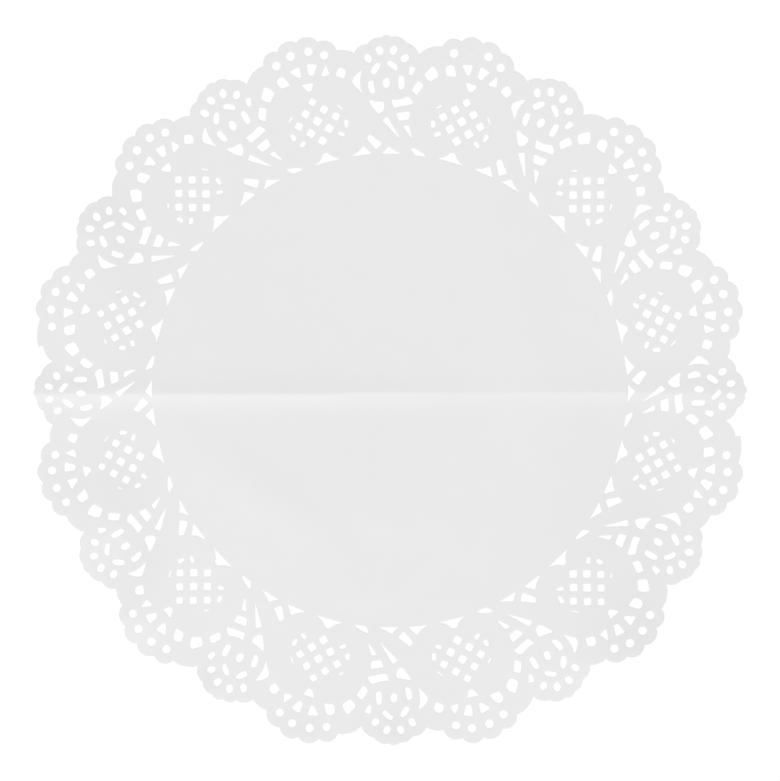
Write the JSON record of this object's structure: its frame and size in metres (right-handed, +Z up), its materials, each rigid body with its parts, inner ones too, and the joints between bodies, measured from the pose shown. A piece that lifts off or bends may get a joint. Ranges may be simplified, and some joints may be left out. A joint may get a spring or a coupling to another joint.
{
  "type": "paper doily",
  "caption": "Round paper doily lying flat: a plain centre with a soft fold across it, a die-cut lace border of rosettes and shells, and a scalloped edge.",
  "frame": {"origin": "middle of the sheet, on the surface it lies on", "axes": "+Z up out of the face, +X along the fold, +Y towards the picture's top"},
  "size_m": [0.2992, 0.2992, 0.0021],
  "materials": {
    "paper": "matte white uncoated paper"
  },
  "bodies": {
    "root": {"doily": "paper"}
  },
  "joints": []
}
